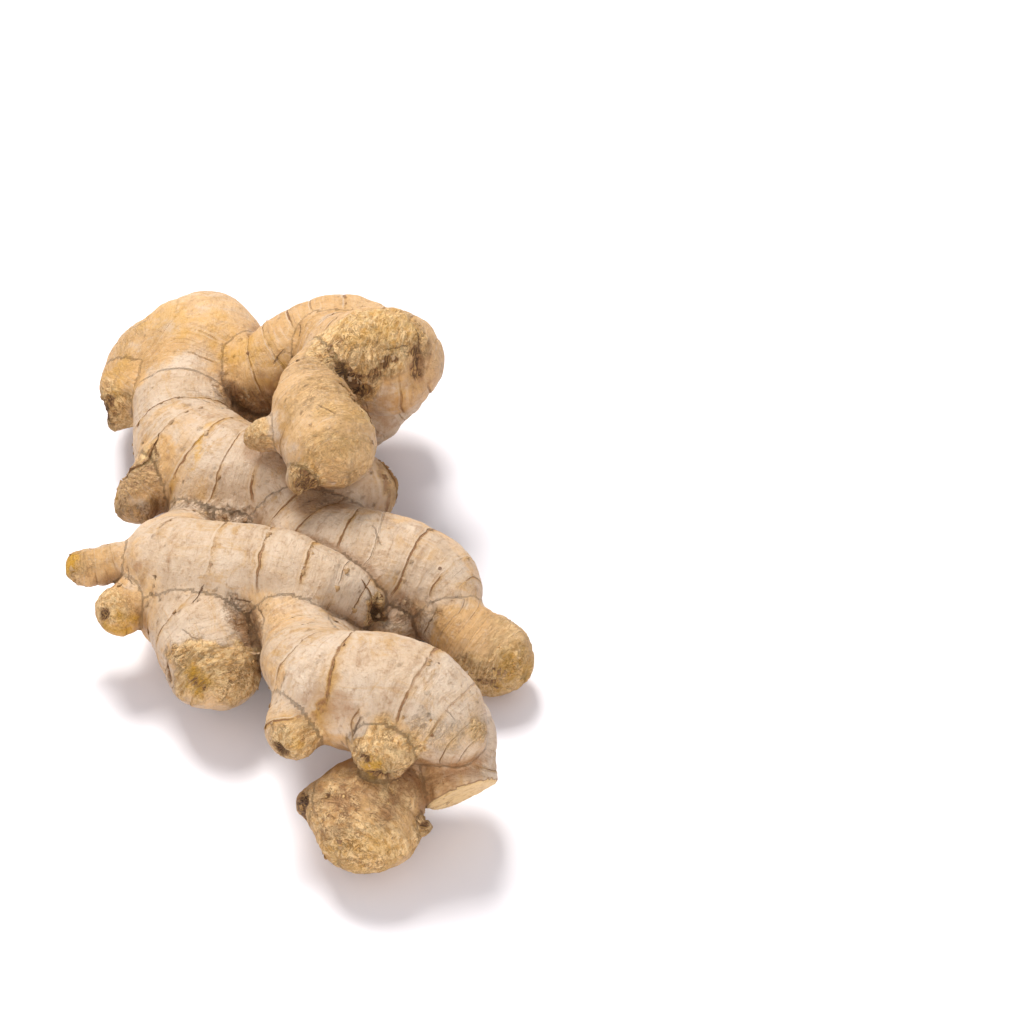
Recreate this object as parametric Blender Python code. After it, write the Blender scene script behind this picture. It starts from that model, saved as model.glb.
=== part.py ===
"""A whole hand of fresh ginger, as dug and washed: one rhizome with its knobs, fingers, buds and broken ends.

The hand grew as one piece, so it is one closed solid. Each stem of the rhizome is a chain of rounds
swept along its growth axis, and every stem flows into the one it grew from through a fillet.
Metres, +Z up. The origin is on the surface that the hand lies on, under the middle of its outline.
"""

import bmesh
import bpy
import numpy as np
from mathutils import Vector, noise

MM = 0.001

# Where the stems' common origin stands in the part's frame, so that the outline is centred there.
GROWTH_ORIGIN = (-0.5, -4.3, 0.0)

# Each stem: what it grows from, the width of the fillet there, how far along it its leaf rings are, and its
# growth axis as (x, y, height, radius) stations from its root to its tip. All in millimetres.
STEMS = {
    "trunk": (None, 0, (2.5, 9.8, 15.2, 24.5, 31, 37.3, 45, 52, 58),
        [(-32, 55, 16.5, 11), (-29.3, 43, 16, 13.3), (-19, 32, 15, 15.4), (-4, 27, 15, 14.5),
         (9, 27, 15.5, 11.5), (14.3, 28, 15.5, 6.3)]),
    "back_knob": ("trunk", 7, (5, 11, 17, 24, 30, 36),
        [(-33, 58, 16.5, 10), (-30, 71.8, 16, 14.6), (-28.3, 79.2, 16.4, 15.9), (-40.2, 74.8, 16, 11.9)]),
    "back_stub": ("back_knob", 6, (6, 11, 15),
        [(-38, 71.5, 16, 9.5), (-44.5, 66.3, 15, 8.6), (-53, 61.3, 13.6, 6.5)]),
    "back_arm": ("back_knob", 3, (7.5, 13, 18.5, 24, 29, 33.5, 40, 47),
        [(-22, 72, 19, 9), (-13, 66.5, 19.6, 10.2), (-2, 69.3, 24.5, 11.5), (9, 71.5, 27, 11.4),
         (19, 67, 22, 10.5), (14, 60, 15, 9)]),
    "arm_saddle": ("trunk", 4, (8, 17, 26),
        [(-27, 55, 11, 8), (-15, 61, 8.3, 8), (-2, 63, 9, 8.5), (12, 60, 12, 8)]),
    "raised_knob": ("back_arm", 4, (6, 14, 20, 26, 33),
        [(3, 67, 29, 8), (9, 56, 35, 10.5), (15, 51, 38, 12.8), (20.5, 49.5, 38.3, 13)]),
    "raised_finger": ("raised_knob", 4, (6, 12, 18.2, 24, 29.6, 35, 40),
        [(8, 50, 37, 8), (2, 38, 38.5, 8), (3.5, 27, 38.5, 10.5), (7, 20, 38, 11.3)]),
    "raised_bud": ("raised_finger", 2, (5, 8.5, 12),
        [(1, 25, 38, 5), (-9, 24, 36.5, 4)]),
    "raised_spur": ("raised_finger", 2, (4, 7, 10),
        [(4, 17, 36, 5), (0.8, 10, 34.5, 3.4)]),
    "torn_bud": ("trunk", 3, (6, 12, 17),
        [(-33, 36, 15, 8), (-40.6, 25.9, 14.7, 6.2)]),
    "right_body": ("trunk", 6, (6, 12, 18.4, 28.3, 34.2, 42.8, 47, 52),
        [(-6, 22, 15, 9), (3, 9, 15, 12), (12, 2, 14.5, 13.2), (21, 0, 14, 13.9), (29, -3, 14, 12.8),
         (33, -6.5, 13.5, 10)]),
    "right_finger": ("right_body", 4, (5, 9.1, 12.5, 15.5, 18.5, 21, 24.5, 29),
        [(30, -8, 13, 7), (37, -16.5, 11.3, 7.6), (44, -21, 8.7, 9.5), (46, -22.5, 8.5, 9.1)]),
    "right_web": ("right_body", 4, (6, 12),
        [(16, -2, 12, 8), (21, -14, 9, 8)]),
    "left_body": ("trunk", 5, (10, 19, 28, 38, 49.3, 58.5, 68.2, 72.9, 78),
        [(-22, 27, 12, 8), (-26.5, 12, 11.8, 9), (-29.5, -4, 20.5, 11.5), (-20, -9, 22, 12.5),
         (-6, -11, 22, 12), (5, -13.5, 21.5, 10.2), (11.5, -15.5, 19.5, 7.2)]),
    "left_web": ("trunk", 8, (9, 18, 27),
        [(-19, 24, 11, 9), (-16, 10, 10, 10), (-12, -2, 13, 9)]),
    "left_bud": ("left_body", 2, (4, 7.4, 10.8, 14),
        [(-36, -4, 22, 5), (-49, -6, 22, 4.7)]),
    "left_spur": ("left_body", 2, (5, 9.2, 13),
        [(-32, -9, 20, 6), (-40, -17, 18, 5.3)]),
    "root_stub": ("left_body", 1, (3, 6),
        [(12, -14, 18, 4), (18, -14.5, 19, 2.6)]),
    "front_finger": ("left_body", 4, (7, 12.5, 17, 21.5, 27),
        [(-27.5, -13, 15.5, 9.5), (-20.5, -25, 16.5, 11), (-17.5, -31, 14.3, 10.6)]),
    "front_body": ("left_body", 4, (15, 26, 35, 44.2, 58.4, 62.7, 67, 72),
        [(-3, -18, 19, 8), (1.5, -33, 22, 7.5), (5, -46, 28, 9.5), (14, -54, 30, 12), (25, -56, 30, 13.2),
         (32, -59, 29.5, 11.6), (37, -63.2, 27.5, 7.5)]),
    "front_join": ("front_body", 9, (9, 18, 27, 36),
        [(8, -13, 15, 7), (8, -26, 14, 8.5), (10, -38, 19, 9), (17, -48, 26, 9)]),
    "front_spur": ("front_body", 3, (6, 10, 13.5),
        [(7, -50, 28, 7), (2.8, -61.3, 26, 6.2)]),
    "front_nose": ("front_body", 2.5, (5, 9, 12.5),
        [(20, -57, 28, 8), (22.4, -69, 27.5, 6.5)]),
    "under_turn": ("front_body", 2, (5, 9.2, 14, 19, 24),
        [(31, -56, 27, 8), (36.8, -57, 21, 9), (38, -63.5, 15.3, 8.2), (39.6, -72, 10.2, 8.2)]),
    "front_knob": ("under_turn", 2, (7, 14, 21, 28, 35),
        [(33, -59, 15, 6), (24, -65, 13, 7.5), (18.8, -74, 11.7, 12.5)]),
    "front_knob_tip": ("front_knob", 3, (5, 9),
        [(16, -72.5, 12, 9), (6.5, -71.5, 12.5, 3.6)]),
    "front_knob_nub": ("front_knob", 1.5, (4, 7),
        [(24, -76, 12, 5), (30.5, -77.8, 12, 2.2)]),
}

# Ends that were snapped or cut off: a point on the flat face and the way it faces.
CUT_ENDS = {
    "back_stub": ((-51.8, 62, 14), (-0.98, -0.1, -0.15)),
    "under_turn": ((37.6, -69.6, 12.2), (0.38, -0.8, -0.46)),
}

STEPS_PER_STATION = 5    # rounds between two stations of an axis
REACH = 14               # how far from a stem its distance is worked out
RING_GROOVE = 0.3        # how deep the groove of a leaf ring is
RING_SWELL = 0.25        # how much a stem swells between two rings
SHAPE_VOXEL = 1.1        # grid that first joins the stems
TRIANGLES = 10500        # what the finished solid is thinned to
LUMPS = ((15.0, 1.1), (6.5, 0.4))    # span and height of the low swellings all over the skin


def smooth_axis(stations):
    """The axis as closely spaced (x, y, z, radius) rows on a Catmull-Rom curve through its stations."""
    points = np.array(stations, float)
    ends = np.vstack([2 * points[0] - points[1], points, 2 * points[-1] - points[-2]])
    rows = []
    for i in range(1, len(ends) - 2):
        before, here, there, after = ends[i - 1:i + 3]
        for t in np.arange(STEPS_PER_STATION) / STEPS_PER_STATION:
            rows.append(0.5 * (2 * here + (there - before) * t
                               + (2 * before - 5 * here + 4 * there - after) * t ** 2
                               + (3 * here - before - 3 * there + after) * t ** 3))
    rows.append(points[-1])
    axis = np.array(rows)
    axis[:, :3] += GROWTH_ORIGIN
    return axis


AXES = {name: smooth_axis(stations) for name, (_, _, _, stations) in STEMS.items()}


def stem_distance(points, axis):
    """Signed distance from each point to the swept rounds of one stem, and how far along the stem it lies.

    A point further than REACH from the stem's box gets REACH as its distance, which is far enough off.
    """
    margin = axis[:, 3:] + REACH
    low = (axis[:, :3] - margin).min(axis=0)
    high = (axis[:, :3] + margin).max(axis=0)
    inside = ((points > low) & (points < high)).all(axis=1)
    close = points[inside]
    nearest = np.full(len(close), float(REACH))
    along = np.zeros(len(close))
    walked = 0.0
    for start, end in zip(axis[:-1], axis[1:]):
        run = end[:3] - start[:3]
        length = np.linalg.norm(run)
        share = np.clip((close - start[:3]) @ run / length ** 2, 0, 1)
        centre = start[:3] + share[:, None] * run
        distance = np.linalg.norm(close - centre, axis=1) - start[3] - share * (end[3] - start[3])
        nearer = distance < nearest
        nearest[nearer] = distance[nearer]
        along[nearer] = walked + share[nearer] * length
        walked += length
    beyond = close - end[:3]
    rise = np.clip(beyond @ run / length / np.maximum(np.linalg.norm(beyond, axis=1), 1e-6), 0, 1)
    along += np.where(along > walked - 1e-6, end[3] * np.arcsin(rise), 0)
    all_nearest = np.full(len(points), float(REACH))
    all_along = np.zeros(len(points))
    all_nearest[inside] = nearest
    all_along[inside] = along
    return all_nearest, all_along


def ring_count(along, rings):
    """Counts leaf rings along a stem: a whole number is on a ring. Past the last ring they are 8 mm apart."""
    places = [rings[0] - 80, *rings, rings[-1] + 80]
    counts = [-10, *range(len(rings)), len(rings) + 9]
    return np.interp(along, places, counts)


def ring_relief(count):
    """How far the skin stands out: a groove at each leaf ring, and a swelling between two."""
    wave = np.cos(np.pi * count) ** 2
    return RING_SWELL * (0.5 - wave) - RING_GROOVE * wave ** 8


def past_cut(name, points):
    """How far each point lies beyond a stem's cut face."""
    place, facing = (np.array(row) for row in CUT_ENDS[name])
    return (points - place - GROWTH_ORIGIN) @ facing / np.linalg.norm(facing)


def all_stems(points):
    """The distance to each stem on its own, with the cut ends taken off."""
    alone = {}
    for name, axis in AXES.items():
        distance, along = stem_distance(points, axis)
        alone[name] = distance - ring_relief(ring_count(along, STEMS[name][2]))
    for name in CUT_ENDS:
        alone[name] = np.maximum(alone[name], past_cut(name, points))
    return alone


def blend(a, b, width):
    """The smaller of two distances, rounded over where they are within width of each other."""
    overlap = np.maximum(width - np.abs(a - b), 0) / width
    return np.minimum(a, b) - overlap ** 2 * width / 4


def rhizome_distance(points):
    """Signed distance to the whole hand: each stem filleted into its parent, and those pairs creased together."""
    alone = all_stems(points)
    whole = alone["trunk"]
    for name, (parent, fillet, _, _) in STEMS.items():
        if parent:
            whole = np.minimum(whole, blend(alone[name], alone[parent], fillet))
    return whole


def outward(points, distances):
    """The field's gradient at each point."""
    step = 0.05
    return np.stack([(rhizome_distance(points + step * axis) - distances) / step for axis in np.eye(3)], axis=1)


def settle(points, rounds):
    """Moves points onto the surface of the hand."""
    for _ in range(rounds):
        distances = rhizome_distance(points)
        slope = outward(points, distances)
        points = points - slope * (distances / np.maximum((slope ** 2).sum(axis=1), 0.2))[:, None]
    return points


def mesh_points(mesh):
    points = np.empty(len(mesh.vertices) * 3, np.float32)
    mesh.vertices.foreach_get("co", points)
    return points.reshape(-1, 3).astype(float) / MM


def set_mesh_points(mesh, points):
    mesh.vertices.foreach_set("co", (points * MM).astype(np.float32).ravel())
    mesh.update()


def ball_chains():
    """One object holding every stem as a row of overlapping balls."""
    builder = bmesh.new()
    for name, axis in AXES.items():
        if name in CUT_ENDS:
            axis = axis[past_cut(name, axis[:, :3]) < -axis[:, 3] / 2]
        for x, y, z, radius in axis:
            made = bmesh.ops.create_icosphere(builder, subdivisions=3, radius=radius * MM)
            bmesh.ops.translate(builder, verts=made["verts"], vec=Vector((x, y, z)) * MM)
    mesh = bpy.data.meshes.new("rhizome")
    builder.to_mesh(mesh)
    builder.free()
    hand = bpy.data.objects.new("rhizome", mesh)
    bpy.context.scene.collection.objects.link(hand)
    return hand


def bake_modifiers(hand):
    """Replaces the object's mesh by the one its modifiers give."""
    graph = bpy.context.evaluated_depsgraph_get()
    baked = bpy.data.meshes.new_from_object(hand.evaluated_get(graph))
    hand.modifiers.clear()
    hand.data = baked


def join_stems(hand):
    remesh = hand.modifiers.new("join", "REMESH")
    remesh.mode = "VOXEL"
    remesh.voxel_size = SHAPE_VOXEL * MM
    bake_modifiers(hand)
    set_mesh_points(hand.data, settle(mesh_points(hand.data), 4))
    even = hand.modifiers.new("even", "SMOOTH")
    even.factor = 0.5
    even.iterations = 4
    bake_modifiers(hand)
    set_mesh_points(hand.data, settle(mesh_points(hand.data), 2))


def add_lumps(hand):
    """Low irregular swellings, as the skin has between its scars."""
    points = mesh_points(hand.data)
    slope = outward(points, rhizome_distance(points))
    slope /= np.linalg.norm(slope, axis=1)[:, None]
    height = sum(tall * np.array([noise.noise(Vector(p) / span) for p in points]) for span, tall in LUMPS)
    set_mesh_points(hand.data, points + slope * height[:, None])


def thin_out(hand):
    """Collapses the fine grid to the number of triangles that the solid is kept at."""
    hand.data.calc_loop_triangles()
    thin = hand.modifiers.new("thin", "DECIMATE")
    thin.ratio = TRIANGLES / len(hand.data.loop_triangles)
    bake_modifiers(hand)


def press_seats(hand):
    """Cuts the lowest knobs flat at the surface that the hand lies on."""
    points = mesh_points(hand.data)
    near = np.abs(points[:, 2]) < 0.2
    points[near, 2] = 0
    set_mesh_points(hand.data, points)
    cut = bmesh.new()
    cut.from_mesh(hand.data)
    everything = cut.verts[:] + cut.edges[:] + cut.faces[:]
    bmesh.ops.bisect_plane(cut, geom=everything, plane_co=(0, 0, 0), plane_no=(0, 0, 1), clear_inner=True, dist=1e-6)
    bmesh.ops.holes_fill(cut, edges=[e for e in cut.edges if e.is_boundary], sides=0)
    bmesh.ops.recalc_face_normals(cut, faces=cut.faces[:])
    cut.to_mesh(hand.data)
    cut.free()


def ginger_skin():
    skin = bpy.data.materials.new("ginger_skin")
    skin.use_nodes = True
    shader = skin.node_tree.nodes["Principled BSDF"]
    shader.inputs["Base Color"].default_value = (0.60, 0.43, 0.26, 1)
    shader.inputs["Roughness"].default_value = 0.62
    shader.inputs["Metallic"].default_value = 0.0
    return skin


def main():
    for old in list(bpy.data.objects):
        bpy.data.objects.remove(old)
    hand = ball_chains()
    join_stems(hand)
    add_lumps(hand)
    thin_out(hand)
    press_seats(hand)
    hand.data.materials.clear()
    hand.data.materials.append(ginger_skin())
    hand.data.shade_smooth()


main()
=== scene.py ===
"""A fresh hand of ginger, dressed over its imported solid: skin, rings, cork, scars and root hairs."""

import bpy
import bmesh
import math
import numpy as np
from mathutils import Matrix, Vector, noise


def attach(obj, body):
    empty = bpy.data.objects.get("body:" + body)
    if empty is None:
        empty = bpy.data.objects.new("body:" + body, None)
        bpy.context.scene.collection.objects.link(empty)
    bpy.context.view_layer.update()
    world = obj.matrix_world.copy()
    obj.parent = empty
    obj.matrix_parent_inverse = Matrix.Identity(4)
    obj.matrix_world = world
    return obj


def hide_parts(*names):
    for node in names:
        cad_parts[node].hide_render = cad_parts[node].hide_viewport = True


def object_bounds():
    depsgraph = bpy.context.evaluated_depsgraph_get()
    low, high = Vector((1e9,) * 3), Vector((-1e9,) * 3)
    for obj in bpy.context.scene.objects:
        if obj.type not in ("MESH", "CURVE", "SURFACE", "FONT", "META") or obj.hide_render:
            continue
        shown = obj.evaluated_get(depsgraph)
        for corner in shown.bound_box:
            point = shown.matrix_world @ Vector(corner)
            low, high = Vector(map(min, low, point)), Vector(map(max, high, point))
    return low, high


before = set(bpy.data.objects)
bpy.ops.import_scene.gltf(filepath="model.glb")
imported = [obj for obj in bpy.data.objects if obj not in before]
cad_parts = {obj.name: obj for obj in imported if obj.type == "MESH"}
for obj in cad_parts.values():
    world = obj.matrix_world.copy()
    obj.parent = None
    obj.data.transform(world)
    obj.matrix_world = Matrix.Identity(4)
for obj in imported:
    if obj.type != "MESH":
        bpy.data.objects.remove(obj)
cad_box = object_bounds()
MM = 0.001


# The hand itself: one rhizome that grew by branching, so every stem runs out of an older one. Its growth
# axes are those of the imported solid. Each row is the stem's parent, the fillet there, how far along it its
# leaf rings are, and (x, y, height, radius) stations, in millimetres from where growth began.
GROWTH_ORIGIN = np.array((-0.5, -4.3, 0.0))
STEMS = {
    "trunk": (None, 0, (2.5, 9.8, 15.2, 24.5, 31, 37.3, 45, 52, 58),
        [(-32, 55, 16.5, 11), (-29.3, 43, 16, 13.3), (-19, 32, 15, 15.4), (-4, 27, 15, 14.5),
         (9, 27, 15.5, 11.5), (14.3, 28, 15.5, 6.3)]),
    "back_knob": ("trunk", 7, (5, 11, 17, 24, 30, 36),
        [(-33, 58, 16.5, 10), (-30, 71.8, 16, 14.6), (-28.3, 79.2, 16.4, 15.9), (-40.2, 74.8, 16, 11.9)]),
    "back_stub": ("back_knob", 6, (6, 11, 15),
        [(-38, 71.5, 16, 9.5), (-44.5, 66.3, 15, 8.6), (-53, 61.3, 13.6, 6.5)]),
    "back_arm": ("back_knob", 3, (7.5, 13, 18.5, 24, 29, 33.5, 40, 47),
        [(-22, 72, 19, 9), (-13, 66.5, 19.6, 10.2), (-2, 69.3, 24.5, 11.5), (9, 71.5, 27, 11.4),
         (19, 67, 22, 10.5), (14, 60, 15, 9)]),
    "arm_saddle": ("trunk", 4, (8, 17, 26),
        [(-27, 55, 11, 8), (-15, 61, 8.3, 8), (-2, 63, 9, 8.5), (12, 60, 12, 8)]),
    "raised_knob": ("back_arm", 4, (6, 14, 20, 26, 33),
        [(3, 67, 29, 8), (9, 56, 35, 10.5), (15, 51, 38, 12.8), (20.5, 49.5, 38.3, 13)]),
    "raised_finger": ("raised_knob", 4, (6, 12, 18.2, 24, 29.6, 35, 40),
        [(8, 50, 37, 8), (2, 38, 38.5, 8), (3.5, 27, 38.5, 10.5), (7, 20, 38, 11.3)]),
    "raised_bud": ("raised_finger", 2, (5, 8.5, 12),
        [(1, 25, 38, 5), (-9, 24, 36.5, 4)]),
    "raised_spur": ("raised_finger", 2, (4, 7, 10),
        [(4, 17, 36, 5), (0.8, 10, 34.5, 3.4)]),
    "torn_bud": ("trunk", 3, (6, 12, 17),
        [(-33, 36, 15, 8), (-40.6, 25.9, 14.7, 6.2)]),
    "right_body": ("trunk", 6, (6, 12, 18.4, 28.3, 34.2, 42.8, 47, 52),
        [(-6, 22, 15, 9), (3, 9, 15, 12), (12, 2, 14.5, 13.2), (21, 0, 14, 13.9), (29, -3, 14, 12.8),
         (33, -6.5, 13.5, 10)]),
    "right_finger": ("right_body", 4, (5, 9.1, 12.5, 15.5, 18.5, 21, 24.5, 29),
        [(30, -8, 13, 7), (37, -16.5, 11.3, 7.6), (44, -21, 8.7, 9.5), (46, -22.5, 8.5, 9.1)]),
    "right_web": ("right_body", 4, (6, 12),
        [(16, -2, 12, 8), (21, -14, 9, 8)]),
    "left_body": ("trunk", 5, (10, 19, 28, 38, 49.3, 58.5, 68.2, 72.9, 78),
        [(-22, 27, 12, 8), (-26.5, 12, 11.8, 9), (-29.5, -4, 20.5, 11.5), (-20, -9, 22, 12.5),
         (-6, -11, 22, 12), (5, -13.5, 21.5, 10.2), (11.5, -15.5, 19.5, 7.2)]),
    "left_web": ("trunk", 8, (9, 18, 27),
        [(-19, 24, 11, 9), (-16, 10, 10, 10), (-12, -2, 13, 9)]),
    "left_bud": ("left_body", 2, (4, 7.4, 10.8, 14),
        [(-36, -4, 22, 5), (-49, -6, 22, 4.7)]),
    "left_spur": ("left_body", 2, (5, 9.2, 13),
        [(-32, -9, 20, 6), (-40, -17, 18, 5.3)]),
    "root_stub": ("left_body", 1, (3, 6),
        [(12, -14, 18, 4), (18, -14.5, 19, 2.6)]),
    "front_finger": ("left_body", 4, (7, 12.5, 17, 21.5, 27),
        [(-27.5, -13, 15.5, 9.5), (-20.5, -25, 16.5, 11), (-17.5, -31, 14.3, 10.6)]),
    "front_body": ("left_body", 4, (15, 26, 35, 44.2, 58.4, 62.7, 67, 72),
        [(-3, -18, 19, 8), (1.5, -33, 22, 7.5), (5, -46, 28, 9.5), (14, -54, 30, 12), (25, -56, 30, 13.2),
         (32, -59, 29.5, 11.6), (37, -63.2, 27.5, 7.5)]),
    "front_join": ("front_body", 9, (9, 18, 27, 36),
        [(8, -13, 15, 7), (8, -26, 14, 8.5), (10, -38, 19, 9), (17, -48, 26, 9)]),
    "front_spur": ("front_body", 3, (6, 10, 13.5),
        [(7, -50, 28, 7), (2.8, -61.3, 26, 6.2)]),
    "front_nose": ("front_body", 2.5, (5, 9, 12.5),
        [(20, -57, 28, 8), (22.4, -69, 27.5, 6.5)]),
    "under_turn": ("front_body", 2, (5, 9.2, 14, 19, 24),
        [(31, -56, 27, 8), (36.8, -57, 21, 9), (38, -63.5, 15.3, 8.2), (39.6, -72, 10.2, 8.2)]),
    "front_knob": ("under_turn", 2, (7, 14, 21, 28, 35),
        [(33, -59, 15, 6), (24, -65, 13, 7.5), (18.8, -74, 11.7, 12.5)]),
    "front_knob_tip": ("front_knob", 3, (5, 9),
        [(16, -72.5, 12, 9), (6.5, -71.5, 12.5, 3.6)]),
    "front_knob_nub": ("front_knob", 1.5, (4, 7),
        [(24, -76, 12, 5), (30.5, -77.8, 12, 2.2)]),
}
CUT_ENDS = {
    "back_stub": ((-51.8, 62, 14), (-0.98, -0.1, -0.15)),
    "under_turn": ((37.6, -69.6, 12.2), (0.38, -0.8, -0.46)),
}
STEPS_PER_STATION = 5
REACH = 14
RING_GROOVE = 0.12
RING_SWELL = 0.12
LUMPS = ((15.0, 1.1), (6.5, 0.4))


def smooth_axis(stations):
    """The growth axis as closely spaced (x, y, z, radius) rows on a curve through its stations."""
    points = np.array(stations, float)
    ends = np.vstack([2 * points[0] - points[1], points, 2 * points[-1] - points[-2]])
    rows = []
    for i in range(1, len(ends) - 2):
        before, here, there, after = ends[i - 1:i + 3]
        for t in np.arange(STEPS_PER_STATION) / STEPS_PER_STATION:
            rows.append(0.5 * (2 * here + (there - before) * t
                               + (2 * before - 5 * here + 4 * there - after) * t ** 2
                               + (3 * here - before - 3 * there + after) * t ** 3))
    rows.append(points[-1])
    axis = np.array(rows)
    axis[:, :3] += GROWTH_ORIGIN
    return axis


AXES = {name: smooth_axis(stations) for name, (_, _, _, stations) in STEMS.items()}


def stem_distance(points, axis):
    """For each point: its distance to one stem's skin, how far along it is, and the stem's direction."""
    margin = axis[:, 3:] + REACH
    low = (axis[:, :3] - margin).min(axis=0)
    high = (axis[:, :3] + margin).max(axis=0)
    inside = ((points > low) & (points < high)).all(axis=1)
    close = points[inside]
    nearest = np.full(len(close), float(REACH))
    along = np.zeros(len(close))
    heading = np.zeros((len(close), 3))
    walked = 0.0
    for start, end in zip(axis[:-1], axis[1:]):
        run = end[:3] - start[:3]
        length = np.linalg.norm(run)
        share = np.clip((close - start[:3]) @ run / length ** 2, 0, 1)
        centre = start[:3] + share[:, None] * run
        distance = np.linalg.norm(close - centre, axis=1) - start[3] - share * (end[3] - start[3])
        nearer = distance < nearest
        nearest[nearer] = distance[nearer]
        along[nearer] = walked + share[nearer] * length
        heading[nearer] = run / length
        walked += length
    beyond = close - end[:3]
    rise = np.clip(beyond @ run / length / np.maximum(np.linalg.norm(beyond, axis=1), 1e-6), 0, 1)
    along += np.where(along > walked - 1e-6, end[3] * np.arcsin(rise), 0)
    all_nearest = np.full(len(points), float(REACH))
    all_along = np.zeros(len(points))
    all_heading = np.zeros((len(points), 3))
    all_nearest[inside] = nearest
    all_along[inside] = along
    all_heading[inside] = heading
    return all_nearest, all_along, all_heading


def ring_count(along, rings):
    """Counts leaf rings along a stem: a whole number is on a ring. Past the last ring they are 8 mm apart."""
    places = [rings[0] - 80, *rings, rings[-1] + 80]
    counts = [-10, *range(len(rings)), len(rings) + 9]
    return np.interp(along, places, counts)


def ring_relief(count):
    """How far the skin stands out: a groove at each leaf ring, and a swelling between two."""
    wave = np.cos(np.pi * count) ** 2
    return RING_SWELL * (0.5 - wave) - RING_GROOVE * wave ** 8


def past_cut(name, points):
    """How far each point lies beyond a stem's cut face."""
    place, facing = (np.array(row) for row in CUT_ENDS[name])
    return (points - place - GROWTH_ORIGIN) @ facing / np.linalg.norm(facing)


def blend(a, b, width):
    """The smaller of two distances, rounded over where they are within width of each other."""
    overlap = np.maximum(width - np.abs(a - b), 0) / width
    return np.minimum(a, b) - overlap ** 2 * width / 4


def survey(points):
    """The distance to each stem alone, the ring count on it and its direction, by stem name."""
    alone, count, heading = {}, {}, {}
    for name, axis in AXES.items():
        distance, along, heading[name] = stem_distance(points, axis)
        count[name] = ring_count(along, STEMS[name][2])
        alone[name] = distance - ring_relief(count[name])
    for name in CUT_ENDS:
        alone[name] = np.maximum(alone[name], past_cut(name, points))
    return alone, count, heading


def rhizome_distance(points):
    """Signed distance to the whole hand: each stem filleted into its parent, the pairs creased."""
    alone = survey(points)[0]
    whole = alone["trunk"]
    for name, (parent, fillet, _, _) in STEMS.items():
        if parent:
            whole = np.minimum(whole, blend(alone[name], alone[parent], fillet))
    return whole


def outward(points, distances):
    """The direction out of the hand at each point."""
    step = 0.05
    rises = [(rhizome_distance(points + step * axis) - distances) / step for axis in np.eye(3)]
    slope = np.stack(rises, axis=1)
    return slope / np.maximum(np.linalg.norm(slope, axis=1), 0.3)[:, None]


def settle(points, rounds):
    """Moves points onto the surface of the hand."""
    for _ in range(rounds):
        distances = rhizome_distance(points)
        points = points - outward(points, distances) * distances[:, None]
    return points


# The skin is one continuous papery sheet that grew with the flesh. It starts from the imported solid, is cut
# to a fine even grid, and is drawn onto the growth axes' own smooth surface, so it keeps the solid's form.
SKIN_GRID = 0.76


def mesh_points(mesh):
    points = np.empty(len(mesh.vertices) * 3, np.float32)
    mesh.vertices.foreach_get("co", points)
    return points.reshape(-1, 3).astype(float) / MM


def mesh_normals(mesh):
    normals = np.empty(len(mesh.vertices) * 3, np.float32)
    mesh.vertex_normals.foreach_get("vector", normals)
    return normals.reshape(-1, 3).astype(float)


def set_mesh_points(mesh, points):
    """Moves the mesh's points, none of them out of the solid's own box."""
    low, high = (np.array(corner) / MM for corner in cad_box)
    mesh.vertices.foreach_set("co", (np.clip(points, low, high) * MM).astype(np.float32).ravel())
    mesh.update()


def bake_modifiers(piece):
    """Replaces the object's mesh by the one its modifiers give."""
    graph = bpy.context.evaluated_depsgraph_get()
    baked = bpy.data.meshes.new_from_object(piece.evaluated_get(graph))
    piece.modifiers.clear()
    piece.data = baked


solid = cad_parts["rhizome"]
skin = bpy.data.objects.new("skin", solid.data.copy())
bpy.context.scene.collection.objects.link(skin)
weld = skin.modifiers.new("weld", "WELD")
weld.merge_threshold = 1e-6
grid = skin.modifiers.new("grid", "REMESH")
grid.mode = "VOXEL"
grid.voxel_size = SKIN_GRID * MM
bake_modifiers(skin)
set_mesh_points(skin.data, settle(mesh_points(skin.data), 1))
even = skin.modifiers.new("even", "SMOOTH")
even.factor = 0.5
even.iterations = 5
bake_modifiers(skin)
base = settle(mesh_points(skin.data), 1)
facing = outward(base, rhizome_distance(base))


def ripple(points, span, depth=1, shift=0.0):
    """Smooth noise from about -1 to 1 at each point, its largest features span millimetres apart."""
    total = np.zeros(len(points))
    for octave in range(depth):
        size = span / 2 ** octave
        aside = Vector((shift, 0, 0))
        total += np.array([noise.noise(Vector(p) / size + aside) for p in points]) / 2 ** octave
    return total


lumps = sum(tall * ripple(base, span) for span, tall in LUMPS)
set_mesh_points(skin.data, base + facing * lumps[:, None])

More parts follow.
